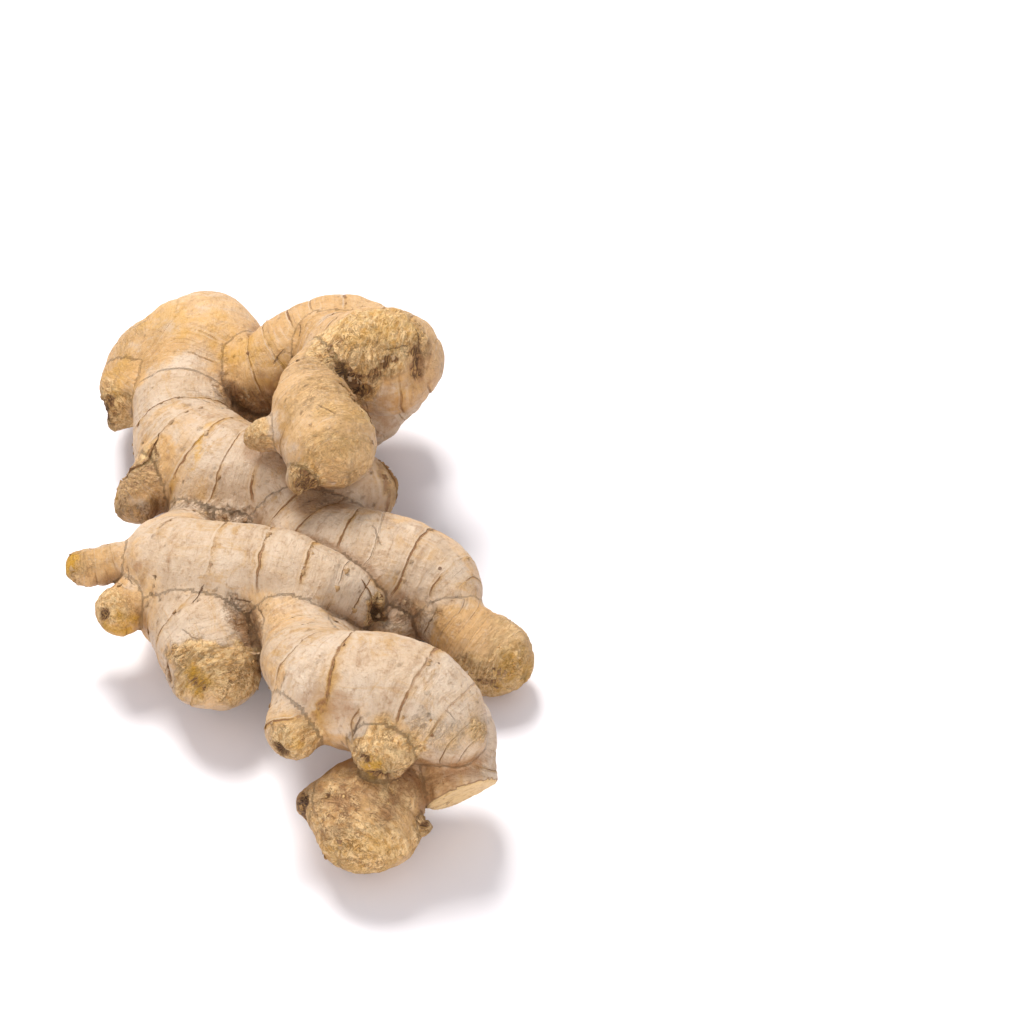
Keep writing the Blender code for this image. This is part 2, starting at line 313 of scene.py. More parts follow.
# Where the hand is not plain skin, from where growth began, in millimetres: each row is the two ends of the
# mark, how far it reaches and how strong it is. Cork is old dry tissue. Wounds are torn places where shoots
# and roots broke off. Gold is fresh yellow flesh at a living tip. Film is the thin grey-pink outer paper,
# and worn is where that paper is gone. The brown soil marks are soil stain, and in part painted shade: brown
# on undersides, on the front knob's top under the nose and in the dent on the raised knob. Shrunken is skin
# that dried into wrinkles, and plain is where the rings have faded.
CORK = [
    ((8, 46, 47), (24, 46, 50), 8.0, 0.9), ((9, 41, 45), (14, 38, 40), 5.0, 1.0),
    ((26, 44, 49), (20, 39, 47), 4.5, 0.7), ((3, 25, 49), (13, 21, 47), 8.0, 0.3),
    ((8, 10, 41), (13, 12, 37), 8.0, 0.4), ((14, 27, 46), (17, 22, 43), 4.0, 0.7),
    ((-20, -38, 20), (-13, -38, 19), 8.0, 1.0), ((20, -73, 30), (26, -73, 29), 6.5, 0.95),
    ((2, -67, 27), (4, -66, 27), 5.0, 0.75), ((31, -69, 34), (36, -70, 32), 4.0, 0.3),
    ((42, -67, 31), (44, -66, 30), 3.0, 0.6),
    ((44, -32, 10), (50, -29, 10), 7.5, 0.8), ((50, -25, 15), (51, -22, 12), 7.0, 0.4),
    ((-42, -19, 20), (-43, -18, 20), 5.0, 0.6), ((-51, -9, 24), (-50, -8, 24), 4.0, 0.3),
    ((12, -82, 17), (20, -86, 13), 11.0, 0.7), ((9, -76, 20), (24, -76, 20), 8.0, 0.5),
    ((31, -79, 13), (29, -79, 13), 4.0, 0.6), ((-49, 58, 17), (-50, 56, 14), 6.0, 0.7),
    ((-42, 30, 21), (-36, 34, 24), 2.5, 0.5), ((-10, 24, 38), (-12, 23, 37), 5.0, 0.6),
    ((2, 8, 36), (3, 8, 34), 4.5, 0.9), ((18, -17, 20), (17, -16, 17), 4.0, 0.8),
    ((19, 28, 20), (20, 26, 16), 4.5, 0.3), ((-46, 76, 24), (-48, 68, 22), 6.0, 0.2),
]
# The wound from (27.2, 42.3, 46.8) to (27.9, 40, 42.5) lies in a dent on the raised knob's right side; its
# dark colour is scar and also painted shade in that dent.
WOUNDS = [
    ((9.5, 39.5, 43), (14, 38, 39), 2.8, 0.8), ((16.5, 38.5, 43), (19, 39, 44.8), 1.3, 0.5),
    ((20, 39.5, 46.2), (22, 40.2, 46.6), 1.2, 0.75), ((27.2, 42.3, 46.8), (27.9, 40, 42.5), 1.9, 0.7),
    ((-51.5, 58.5, 17), (-52, 58, 15), 3.6, 0.8), ((1.2, 8.5, 36), (3.5, 8.3, 33.5), 2.4, 0.6),
    ((-43, -20.5, 20.6), (-42.6, -20.5, 20.2), 1.1, 0.9), ((-0.2, -66.2, 25), (0.8, -66.8, 24.4), 1.3, 0.9),
    ((20.5, -75, 26.3), (23, -75.3, 25.6), 1.2, 0.9), ((-28, -34, 16), (-27.7, -34.8, 14.5), 1.2, 0.75),
    ((4.4, -73, 15.5), (4.2, -73, 13), 2.4, 0.95), ((17.5, -17.5, 19.5), (18.5, -16.5, 16.5), 2.0, 0.85),
    ((-21, -39.5, 18.5), (-19, -40, 17), 1.3, 0.4), ((31.4, -79, 13.5), (31.4, -79, 13.4), 1.1, 0.6),
    ((-45, 29, 18), (-41, 31, 21.5), 1.0, 0.65), ((-53, -9, 20), (-52, -9, 19.5), 1.2, 0.6),
    ((18.5, -74, 30.5), (19.5, -74, 30), 0.9, 0.7), ((42, -31, 9.5), (46, -31.5, 9), 1.2, 0.5),
    ((10, -76, 20.4), (10.2, -76, 20.3), 0.8, 0.6), ((25, -70, 17), (25.4, -70, 16.6), 1.0, 0.6),
]
GOLD = [
    ((-53, -8, 24), (-52, -8, 25), 2.6, 1.0), ((-41, -21, 17.5), (-39, -21, 18), 3.2, 0.8),
    ((-21, -39, 19), (-20, -39, 17), 3.6, 0.85), ((20, -75, 29), (21, -75, 27), 2.6, 0.8),
    ((4, -67, 27), (3, -67, 28), 1.6, 0.4), ((50, -29, 9), (52, -26, 11), 5.5, 0.5),
    ((-46, 24, 14), (-45, 28, 16), 3.0, 0.5), ((6, 12, 46), (12, 16, 47), 7.0, 0.2),
    ((-50, 60, 19), (-47, 66, 23), 4.0, 0.35), ((14, -86, 10), (22, -86, 10), 7.0, 0.3),
    ((12, 47, 50), (22, 47, 51), 6.0, 0.35), ((-18, 66, 27), (-9, 60, 27), 6.0, 0.45),
    ((-41, 80, 28), (-30, 72, 32), 5.0, 0.45), ((-24, 76, 31), (-22, 68, 29), 3.5, 0.4),
    ((-22.5, 34, 30), (-27, 24, 27), 1.6, 0.7),
]
FILM = [
    ((-22, -12, 33), (-2, -13, 33), 11.0, 1.0), ((2, -15, 31), (13, -17, 27), 8.0, 1.0),
    ((10, -58, 40), (33, -60, 41), 11.0, 1.0), ((8, -2, 27), (30, -8, 26), 9.0, 1.0),
    ((-16, 22, 28), (-4, 18, 29), 12.0, 1.0), ((-32, 74, 31), (-24, 82, 31), 8.0, 0.6),
    ((-32, 52, 29), (-27, 62, 30), 8.0, 0.8), ((42, -58, 24), (42, -66, 16), 6.0, 1.0),
    ((-22, -28, 26), (-16, -32, 26), 7.0, 1.0), ((12, 18, 24), (20, 14, 22), 6.0, 0.8),
]
WORN = [
    ((-36, 76, 24), (-26, 80, 24), 17.0, 0.55), ((-50, 60, 16), (-44, 66, 20), 9.0, 0.8),
    ((-12, 64, 30), (14, 70, 38), 12.0, 0.8), ((15, 50, 45), (21, 48, 45), 15.0, 0.8),
    ((2, 36, 45), (8, 16, 42), 13.0, 0.75), ((-42, 26, 17), (-36, 32, 20), 8.0, 0.6),
    ((42, -24, 12), (50, -26, 10), 12.0, 0.7), ((-42, -18, 20), (-41, -18, 18), 7.0, 0.8),
    ((-46, -10, 24), (-52, -10, 22), 6.0, 0.6), ((10, -78, 16), (24, -82, 12), 16.0, 1.0),
    ((-18, -38, 19), (-15, -38, 18), 8.0, 0.7), ((3, -67, 28), (4, -66, 27), 6.0, 0.6),
    ((22, -72, 30), (24, -72, 29), 7.0, 0.7), ((-20, 0, 16), (-34, -8, 16), 10.0, 0.4),
]
# Soil stain, and in part painted shade: several rows darken undersides, the front knob's top under the nose
# and the dent on the raised knob's right side, where shade falls.
SOIL_AND_SHADE = [
    ((8, -76, 21), (22, -77, 21), 6.0, 0.85), ((28, -68, 17), (36, -64, 20), 9.0, 1.0),
    ((15, -82, 18), (12, -81, 15), 4.0, 0.7), ((-14, 57, 18), (-4, 56, 20), 8.0, 0.9),
    ((24, 37, 37), (18, 37, 36), 7.0, 0.5), ((27, 42.5, 47), (28, 39.8, 42), 2.8, 0.9),
    ((14, 26, 20), (19, 27, 18), 7.0, 0.2), ((4, -64, 36), (14, -66, 36), 4.0, 0.5),
    ((16, 50, 22), (22, 55, 22), 10.0, 0.7), ((24, -15, 18), (32, -14, 16), 4.0, 0.5),
    ((-13, -25, 22), (-9, -30, 20), 3.5, 0.45), ((30, 44, 40), (26, 46, 34), 8.0, 0.5),
    ((-36.5, -12.5, 27.8), (-35.5, -12.8, 28), 1.5, 0.8), ((-9, 22, 36), (-11, 22, 35), 3.0, 0.6),
]
SHRUNKEN = [
    ((-22, 54, 20), (-8, 57, 18), 6.0, 1.0), ((-38, 20, 16), (-15, 12, 20), 4.0, 0.9),
    ((-40, 30, 20), (-42, 25, 17), 6.0, 1.0), ((24, -16, 16), (32, -16, 14), 5.0, 0.8),
    ((-12, -24, 25), (-9, -31, 20), 4.5, 0.9), ((8, -60, 37), (30, -62, 40), 8.0, 0.35),
    ((9, 42, 46), (17, 40, 46), 5.0, 1.0), ((14, 24, 47), (3, 38, 48), 6.0, 0.5),
    ((-50, -12, 19), (-52, -11, 20), 3.5, 0.8),
]
PLAIN = [
    ((-44, 62, 21), (-36, 82, 24), 14.0, 0.9), ((4, 22, 49), (8, 12, 42), 12.0, 0.9),
    ((-44, 24, 17), (-42, 26, 19), 9.0, 0.9), ((42, -26, 14), (50, -28, 10), 10.0, 0.75),
    ((-50, -9, 23), (-44, -9, 23), 7.0, 0.5), ((14, -78, 16), (20, -82, 14), 14.0, 0.8),
    ((-42, -19, 19), (-41, -18, 19), 6.0, 0.6), ((14, 46, 48), (24, 44, 46), 12.0, 0.7),
    ((-20, -30, 24), (-16, -36, 22), 8.0, 0.7), ((0, 34, 47), (4, 30, 49), 7.0, 0.5),
    ((36, -62, 38), (42, -60, 26), 9.0, 0.65), ((16, -34, 30), (24, -36, 30), 8.0, 0.5),
    ((-34, -13, 30), (-36, -10, 30), 6.0, 0.9), ((-38, -19, 24), (-20, -21, 28), 4.0, 0.95),
    ((-9, -24, 27), (8, -22, 29), 4.0, 0.8),
]


def marked(points, rows, wobble, softness=0.45):
    """How much of one kind of mark each point has: 1 well inside, 0 outside, with an uneven edge."""
    amount = np.zeros(len(points))
    for start, end, reach, most in rows:
        start = np.array(start, float) + GROWTH_ORIGIN
        run = np.array(end, float) + GROWTH_ORIGIN - start
        share = np.clip((points - start) @ run / max(run @ run, 1e-9), 0, 1)
        gap = np.linalg.norm(points - start - share[:, None] * run, axis=1) / reach + wobble
        amount = np.maximum(amount, most * np.clip((1.15 - gap) / softness, 0, 1))
    return amount


edge = 0.45 * ripple(base, 5.0, 3)
frayed = 0.7 * edge + 0.6 * ripple(base, 2.0, 2, 6.0)
cork = marked(base, CORK, edge)
wound = marked(base, WOUNDS, frayed - 0.15, 0.8)
gold = marked(base, GOLD, edge)
film = 0.62 + 0.4 * marked(base, FILM, edge) - 0.8 * marked(base, WORN, edge)
soil_and_shade = marked(base, SOIL_AND_SHADE, 0.9 * edge)
shrunken = marked(base, SHRUNKEN, edge)

# Cracks opened as the skin dried: each row is the two ends of a crack and how dark it is.
CRACKS = [
    ((-20, -20, 28.5), (-22.5, -23.5, 27.6), 1.0), ((-12.5, -22, 26.5), (-9.0, -22.8, 26), 0.9),
    ((15.6, -69, 31), (17.5, -67.3, 35), 0.7), ((-6.5, 61, 32), (-8.5, 59.3, 29.4), 0.7),
    ((-30, 48, 29), (-24, 47.5, 28.5), 0.6), ((-40, -12, 26), (-37, -15, 24), 0.6),
    ((-8, -24, 26), (-6, -28, 25), 0.7), ((20, 41, 48), (27, 43, 48), 0.7), ((27, 47, 50), (29, 43, 46), 0.8),
    ((18, 2, 27), (20, -4, 27), 0.5), ((5, 20, 48.5), (9, 17, 48), 0.6),
    ((36, -66, 36), (38, -67.3, 34.7), 0.4), ((-24, -30, 24), (-20, -33, 24), 0.5),
    ((-2, 66, 35), (1, 62, 33), 0.7), ((-45, 77, 24), (-42, 80, 27), 0.7),
]


def crack_lines(points, rows):
    """For each point: how far aside of the nearest crack it is, in millimetres, and how dark that is."""
    aside = np.full(len(points), 9.0)
    dark = np.zeros(len(points))
    for start, end, most in rows:
        start = np.array(start, float) + GROWTH_ORIGIN
        run = np.array(end, float) + GROWTH_ORIGIN - start
        share = (points - start) @ run / (run @ run)
        across = ((points - start) * np.cross(run / np.linalg.norm(run), facing)).sum(axis=1)
        near = (np.linalg.norm(points - start - run / 2, axis=1) < np.linalg.norm(run)) & (np.abs(across) < 3)
        aside[near] = across[near]
        dark[near] = most * np.clip((0.6 - np.abs(share[near] - 0.5)) / 0.15, 0, 1)
    return aside, dark


crack_aside, crack_dark = crack_lines(base, CRACKS)

# Every stem's leaf rings are counted along its own axis, and turn is the angle round that axis, which gives
# the skin its grain. Painted shade darkens the hollows that are left where two stems press together, and a
# painted dark shade line runs along the sharpest creases.
alone, counts, headings = survey(base)
names = list(STEMS)
depths = np.stack([alone[name] for name in names])
order = depths.argsort(axis=0)
owner = order[0]
each = np.arange(len(base))
margin = depths[order[1], each] - depths[owner, each]
count = np.stack([counts[name] for name in names])[owner, each]
heading = np.stack([headings[name] for name in names])[owner, each]

# On the outside of a bend many points share one place on the axis, so the count is evened out there.
pairs = np.empty(len(skin.data.edges) * 2, np.int32)
skin.data.edges.foreach_get("vertices", pairs)
pairs = pairs.reshape(-1, 2)
pairs = pairs[owner[pairs[:, 0]] == owner[pairs[:, 1]]]
ends = np.concatenate([pairs, pairs[:, ::-1]])
friends = np.maximum(np.bincount(ends[:, 0], minlength=len(base)), 1)
for _ in range(75):
    count = 0.4 * count + 0.6 * np.bincount(ends[:, 0], count[ends[:, 1]], len(base)) / friends
count = count + 0.09 * ripple(base, 11.0) + 0.035 * ripple(base, 2.6) + 0.02 * ripple(base, 1.3)
# How deep in a hollow each point lies, where the skin would be in shade; the shader paints that shade as
# brown.
shaded_hollow = np.clip((4.0 - rhizome_distance(base + 4.0 * facing)) / 3.2, 0, 1)
shaded_hollow *= np.clip((9.0 - margin) / 3.0, 0, 1)
ringed = np.clip((margin - 0.6) / 1.8, 0, 1) * (1 - 0.8 * cork) * (1 - 0.6 * wound)
plain = marked(base, PLAIN, 0.5 * edge)
ringed *= 1 - plain
# Painted shade: a dark line along the sharpest creases between stems, where shade falls; the same mask also
# grooves the skin a little.
shaded_crease = np.exp(-margin / 0.7) * np.clip(shaded_hollow * 3.0 - 1.8, 0, 1) * (1 - plain) * np.clip(1 - wound, 0, 1)
cut = np.clip(1 - np.abs(past_cut("under_turn", base)) / 0.3, 0, 1) * (owner == names.index("under_turn"))
side = np.cross(heading, (0.0, 0.0, 1.0))
side /= np.maximum(np.linalg.norm(side, axis=1), 0.2)[:, None]
turn = np.arctan2((facing * side).sum(axis=1), (facing * np.cross(side, heading)).sum(axis=1))
grain_way = np.stack([turn * 11.0, count * 7.0, owner * 23.0], axis=1)

# The relief that shows from a step away, along the skin's own normals: the overlapping lip at each ring,
# folds round the stem and wrinkles along it, crumbling cork, and pits where shoots broke off.
fraction = count - np.floor(count)
ring_strength = np.array([noise.noise(Vector((7.3 * round(q), 3.1 * o, 0.5))) for q, o in zip(count, owner)])
lip = np.exp(-fraction * 8) - 0.6 * np.exp(-(1 - fraction) * 10)
thickness = np.array([max(row[3] for row in STEMS[name][3]) for name in names])[owner]


def along_grain(span_round, span_along, shift):
    """Noise drawn out along or round the stems: its features span these millimetres round and along them."""
    stretch = np.array((1 / span_round, 1 / span_along, 1.0))
    return np.array([noise.noise(Vector(p * stretch) + Vector((0, 0, shift))) for p in grain_way])


folds = along_grain(12.0, 2.6, 0.0)
wrinkles = along_grain(2.6, 9.0, 4.0)
puckers = 0.5 - np.abs(along_grain(5.0, 1.5, 8.0)) * 2.2
cracks = np.exp(-(ripple(base, 4.2, 2, 3.0) / 0.10) ** 2)
cracks += 0.6 * np.exp(-(ripple(base, 2.4, 1, 9.0) / 0.13) ** 2)
crumble = ripple(base, 1.9, 2, 5.0)
dents = -np.abs(ripple(base, 10.0, 1, 2.0)) + 0.3

relief = 0.17 * ringed * np.clip(0.7 + 1.3 * ring_strength, 0.1, 1.4) * lip * np.clip(thickness / 11, 0.4, 1)
relief += 0.17 * ripple(base, 3.4, 3, 1.0)
relief += 0.4 * dents
relief += (0.12 * folds + 0.10 * wrinkles) * np.clip(margin / 2, 0.3, 1)
relief += shrunken * 0.45 * puckers
relief += cork * (0.36 * crumble - 0.34 * np.minimum(cracks, 1) + 0.42 * puckers + 0.1)
relief += 0.22 * np.exp(-((wound - 0.25) / 0.18) ** 2) * (1 + ripple(base, 1.5))
relief -= wound * (1.0 + 0.7 * crumble + 0.5 * puckers)
relief -= 0.9 * marked(base, [((27.2, 42.5, 47), (28, 39.8, 42), 3.6, 1.0)], 0.3 * edge)
relief -= 0.25 * crack_dark * np.exp(-(crack_aside / 0.7) ** 2)
relief -= shaded_crease * (0.15 + 0.1 * crumble)
relief *= 1 - 0.9 * cut
set_mesh_points(skin.data, mesh_points(skin.data) + mesh_normals(skin.data) * relief[:, None])


def keep_on_skin(mesh, label, values, kind="FLOAT"):
    """Stores a value at each point of a mesh, for its material or for what is scattered on it."""
    layer = mesh.attributes.new(label, kind, "POINT")
    layer.data.foreach_set("vector" if kind == "FLOAT_VECTOR" else "value", values.astype(np.float32).ravel())


for label, values in (("cork", cork), ("wound", wound), ("gold", gold), ("film", np.clip(film, 0, 1)),
                      ("soil_and_shade", soil_and_shade), ("shrunken", shrunken), ("crack_aside", crack_aside),
                      ("crack_dark", crack_dark), ("ring", count), ("ringed", ringed), ("shaded_crease", shaded_crease),
                      ("shaded_hollow", shaded_hollow), ("cut", cut), ("stem", owner.astype(float))):
    keep_on_skin(skin.data, label, values)
keep_on_skin(skin.data, "grain_way", grain_way, "FLOAT_VECTOR")
skin.data.shade_smooth()


class Finish:
    """Builds one material's node tree from short calls."""

    def __init__(self, name):
        self.material = bpy.data.materials.new(name)
        self.material.use_nodes = True
        self.tree = self.material.node_tree
        self.shader = self.tree.nodes["Principled BSDF"]
        self.place = self.add("TexCoord", {}, output=3)

    def put(self, socket, value):
        """Sets a socket to a number or a colour, or links it to another node's output."""
        if isinstance(value, bpy.types.NodeSocket):
            self.tree.links.new(value, socket)
        else:
            socket.default_value = value

    def add(self, kind, inputs, output=0, **settings):
        """Adds a node, fills its inputs and returns one of its outputs."""
        node = self.tree.nodes.new("ShaderNode" + kind)
        for key, value in settings.items():
            setattr(node, key, value)
        for key, value in inputs.items():
            self.put(node.inputs[key], value)
        return node.outputs[output]

    def math(self, operation, a, b=0.0, c=0.0):
        return self.add("Math", {0: a, 1: b, 2: c}, operation=operation)

    def times(self, a, b):
        return self.math("MULTIPLY", a, b)

    def plus(self, a, b):
        return self.math("ADD", a, b)

    def rise(self, value, low, high):
        """Goes softly from 0 to 1 as the value goes from low to high, or back where low is the larger."""
        return self.add("MapRange", {0: value, 1: low, 2: high}, interpolation_type="SMOOTHSTEP")

    def mix(self, share, a, b, blend="MIX"):
        return self.add("Mix", {0: share, 6: a, 7: b}, output=2, data_type="RGBA", blend_type=blend)

    def carried(self, name):
        """A value stored on the mesh."""
        return self.add("Attribute", {}, output=2, attribute_name=name)

    def grain(self, scale, detail=3.0, rough=0.55, warp=0.0, where=None):
        return self.add("TexNoise", {"Vector": where or self.place, "Scale": scale, "Detail": detail,
                                     "Roughness": rough, "Distortion": warp})

    def fibres(self, span_round, span_along, detail=4.0, rough=0.65, warp=0.0):
        """Noise drawn out round or along the stem, its features span these millimetres round and along it."""
        way = self.add("Attribute", {}, output=1, attribute_name="grain_way")
        stretch = (1 / span_round, 1 / span_along, 1.0)
        drawn = self.add("VectorMath", {0: way, 1: stretch}, operation="MULTIPLY")
        return self.grain(1.0, detail, rough, warp, drawn)

    def thread(self, value, half_width):
        """Thin wandering lines, where a noise crosses its own middle."""
        return self.rise(self.math("ABSOLUTE", self.swing(value, 1.0)), half_width, half_width * 0.3)

    def swing(self, value, amount):
        """A noise that goes from 0 to 1, made to swing this much about nothing."""
        return self.times(self.math("SUBTRACT", value, 0.5), amount)

    def wash(self, under, over, amount, strength):
        """Lays a colour over another, as much as the amount says and no more than the strength."""
        return self.mix(self.times(amount, strength), under, over)


# The skin's finish. Under the thin pink-grey film it is tan to ochre, with fine fibres round the stem and
# flecks of every size. Rings are thin brown lines with an ochre stain and a pale edge, cork is straw with
# brown wrinkles, and torn places are dark and fibrous. Where the film lies smooth it has a slight sheen.
TAN = (0.690, 0.440, 0.215, 1)
OCHRE_TAN = (0.620, 0.360, 0.140, 1)
PAPER = (0.570, 0.410, 0.270, 1)
PALE_PAPER = (0.660, 0.515, 0.380, 1)
BROWN = (0.300, 0.150, 0.060, 1)
OCHRE = (0.480, 0.255, 0.060, 1)
LINE_BROWN = (0.260, 0.115, 0.038, 1)
STRAW = (0.880, 0.600, 0.300, 1)
CORK_BROWN = (0.640, 0.360, 0.130, 1)
CRACK_BROWN = (0.140, 0.060, 0.021, 1)
YELLOW = (0.640, 0.330, 0.025, 1)
SOIL_AND_SHADE_BROWN = (0.360, 0.175, 0.068, 1)
TORN_DARK = (0.045, 0.020, 0.010, 1)
TORN_BROWN = (0.260, 0.130, 0.050, 1)
FLESH = (0.770, 0.530, 0.255, 1)
FLESH_FIBRE = (0.600, 0.370, 0.150, 1)

g = Finish("ginger_skin")
ring = g.carried("ring")
is_ringed = g.carried("ringed")
is_cork = g.carried("cork")
is_wound = g.carried("wound")
is_film = g.carried("film")
is_shrunken = g.carried("shrunken")
is_shaded_hollow = g.carried("shaded_hollow")
hoops = g.fibres(11.0, 0.9, 5.0, 0.68, 0.3)
streaks = g.fibres(1.3, 10.0, 4.0, 0.65, 0.4)
puckered = g.fibres(3.2, 1.1, 4.0, 0.65, 0.5)
fine = g.grain(760, 4.0, 0.72)
coarse = g.grain(210, 4.0, 0.66, 0.6)

colour = g.mix(g.rise(g.grain(42, 4.0, 0.6), 0.38, 0.64), TAN, OCHRE_TAN)
paper = g.mix(g.rise(g.grain(90, 5.0, 0.62), 0.36, 0.68), PAPER, PALE_PAPER)
covered = g.plus(is_film, g.swing(g.grain(75, 5.0, 0.66, 0.5), 1.9))
colour = g.mix(g.rise(covered, 0.25, 0.80), colour, paper)
colour = g.wash(colour, BROWN, g.rise(coarse, 0.54, 0.72), 0.50)
colour = g.wash(colour, OCHRE, g.rise(g.grain(80, 5.0, 0.7, 1.2), 0.52, 0.68), 0.62)
colour = g.wash(colour, BROWN, g.rise(hoops, 0.52, 0.74), 0.50)
colour = g.wash(colour, PALE_PAPER, g.rise(hoops, 0.48, 0.30), 0.45)
colour = g.wash(colour, OCHRE, g.rise(streaks, 0.54, 0.72), 0.35)
colour = g.wash(colour, BROWN, g.rise(fine, 0.52, 0.72), 0.55)
colour = g.wash(colour, PALE_PAPER, g.rise(fine, 0.47, 0.30), 0.40)

scratches = g.times(g.thread(g.grain(300, 4.0, 0.7, 1.5), 0.016), g.rise(is_shrunken, 0.3, 1.0))
colour = g.wash(colour, LINE_BROWN, scratches, 0.4)

nearest_ring = g.math("ROUND", ring)
offset = g.math("SUBTRACT", ring, nearest_ring)
offset = g.plus(offset, g.swing(g.grain(420, 3.0, 0.6), 0.05))
ring_seed = g.add("CombineXYZ", {0: nearest_ring, 1: g.carried("stem"), 2: 0.37})
own_look = g.add("TexWhiteNoise", {"Vector": ring_seed}, noise_dimensions="3D")
broken = g.rise(g.grain(120, 4.0, 0.65), 0.38, 0.52)
line = g.times(g.rise(g.math("ABSOLUTE", offset), 0.034, 0.012), g.times(is_ringed, broken))
stain = g.times(g.rise(g.math("ABSOLUTE", offset), 0.17, 0.0), g.rise(g.grain(110, 4.0, 0.6), 0.36, 0.60))
pale_edge = g.times(g.rise(g.math("ABSOLUTE", g.plus(offset, 0.062)), 0.035, 0.01), is_ringed)
colour = g.mix(g.times(g.times(stain, is_ringed), g.rise(own_look, 0.1, 0.9)), colour, OCHRE)
colour = g.wash(colour, PALE_PAPER, pale_edge, 0.5)
colour = g.mix(g.times(line, g.rise(own_look, 0.0, 0.7)), colour, LINE_BROWN)

# Painted shade: brown darkening in the hollows between stems, where shade falls.
colour = g.wash(colour, BROWN, g.rise(g.times(is_shaded_hollow, g.plus(coarse, 0.5)), 0.15, 0.9), 0.6)
colour = g.mix(g.times(g.rise(puckered, 0.50, 0.38), g.times(is_shrunken, 0.7)), colour, BROWN)
# Painted shade: a dark brown line along the sharpest creases.
colour = g.wash(colour, LINE_BROWN, g.rise(g.carried("shaded_crease"), 0.35, 0.9), 0.55)

cork_colour = g.mix(g.rise(g.plus(g.times(fine, 0.5), g.times(puckered, 0.5)), 0.41, 0.56), CORK_BROWN, STRAW)
cork_veins = g.math("MAXIMUM", g.thread(g.fibres(3.6, 1.5, 4.0, 0.7, 0.8), 0.020), g.thread(coarse, 0.012))
cork_colour = g.mix(g.times(cork_veins, g.rise(g.grain(90, 3.0, 0.6), 0.42, 0.66)), cork_colour, LINE_BROWN)
colour = g.mix(g.rise(g.plus(is_cork, g.swing(coarse, 0.7)), 0.15, 0.65), colour,
               cork_colour)
colour = g.mix(g.times(g.carried("gold"), g.rise(g.grain(240, 4.0, 0.66), 0.36, 0.60)), colour, YELLOW)
# Soil stain and painted shade: brown on the undersides, under the nose and in the dent on the raised knob.
colour = g.mix(g.times(g.carried("soil_and_shade"), g.rise(g.grain(150, 5.0, 0.72), 0.34, 0.62)), colour, SOIL_AND_SHADE_BROWN)

frayed_edge = g.plus(g.swing(g.grain(330, 4.0, 0.7), 1.0),
                     g.swing(puckered, 2.6))
ragged = g.plus(is_wound, frayed_edge)
strands = g.fibres(4.0, 0.55, 3.0, 0.6, 1.0)
torn = g.mix(g.rise(puckered, 0.40, 0.60), TORN_DARK, TORN_BROWN)
torn = g.mix(g.times(g.rise(strands, 0.50, 0.62), 0.85), torn, CORK_BROWN)
colour = g.mix(g.times(g.rise(ragged, 0.10, 0.55), g.rise(is_wound, 0.05, 0.4)), colour, SOIL_AND_SHADE_BROWN)
colour = g.mix(g.times(g.rise(ragged, 0.40, 0.62), g.rise(is_wound, 0.05, 0.3)), colour, torn)

wander = g.plus(g.swing(g.grain(420, 3.0, 0.7), 1.6),
                g.swing(g.grain(110, 2.0, 0.5), 3.0))
crack = g.rise(g.math("ABSOLUTE", g.plus(g.carried("crack_aside"), wander)), 0.24, 0.06)
crack = g.times(crack, g.carried("crack_dark"))
colour = g.wash(colour, CRACK_BROWN, crack, 0.9)
pore_gap = g.add("TexVoronoi", {"Vector": g.place, "Scale": 150.0})
pore_size = g.times(g.add("TexVoronoi", {"Vector": g.place, "Scale": 150.0}, output=1), 0.075)
pores = g.times(g.math("LESS_THAN", pore_gap, pore_size), g.rise(g.grain(55, 2.0, 0.5), 0.46, 0.56))
colour = g.wash(colour, CRACK_BROWN, pores, 0.8)

is_cut = g.rise(g.plus(g.carried("cut"), g.swing(g.grain(300, 3.0, 0.6), 0.5)), 0.35, 0.6)
flesh = g.mix(g.rise(g.grain(900, 3.0, 0.6), 0.48, 0.66), FLESH, FLESH_FIBRE)
colour = g.wash(colour, BROWN, g.rise(g.carried("cut"), 0.02, 0.35), 0.9)
colour = g.mix(is_cut, colour, flesh)
g.put(g.shader.inputs["Base Color"], colour)

gloss = g.math("MULTIPLY_ADD", g.grain(110, 4.0, 0.6), 0.40, 0.36)
gloss = g.plus(gloss, g.times(is_cork, 0.25))
gloss = g.math("SUBTRACT", gloss, g.times(is_film, 0.08))
g.put(g.shader.inputs["Roughness"], gloss)
g.shader.inputs["Specular IOR Level"].default_value = 0.40
g.shader.inputs["Subsurface Weight"].default_value = 0.05
g.shader.inputs["Subsurface Radius"].default_value = (0.9, 0.5, 0.25)
g.shader.inputs["Subsurface Scale"].default_value = 0.0015

height = g.plus(g.times(hoops, 0.55), g.times(streaks, 0.35))
height = g.plus(height, g.times(coarse, 0.55))
height = g.plus(height, g.times(fine, 0.50))
height = g.math("SUBTRACT", height, g.times(line, 0.5))
height = g.math("SUBTRACT", height, g.times(g.math("MAXIMUM", crack, scratches), 0.6))
height = g.plus(height, g.times(g.times(puckered, g.math("MAXIMUM", is_cork, is_shrunken)), 2.2))
height = g.plus(height, g.times(g.times(g.math("SUBTRACT", fine, g.times(cork_veins, 0.6)), is_cork), 0.8))
height = g.plus(height, g.times(g.times(g.plus(puckered, strands), is_wound), 1.6))
g.put(g.shader.inputs["Normal"], g.add("Bump", {"Strength": 0.9, "Distance": 0.0009, "Height": height}))

skin.data.materials.clear()
skin.data.materials.append(g.material)
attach(skin, "root")
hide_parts("rhizome")


# Leaf-scale fringes: each leaf ring once held a sheath, and what is left of it is a row of torn, papery
# shreds of dried skin along the ring, a millimetre or so long, still rooted at their lower edge.
SHREDS_PER_SQUARE_METRE = 800000
SHRED_LENGTH = 1.0


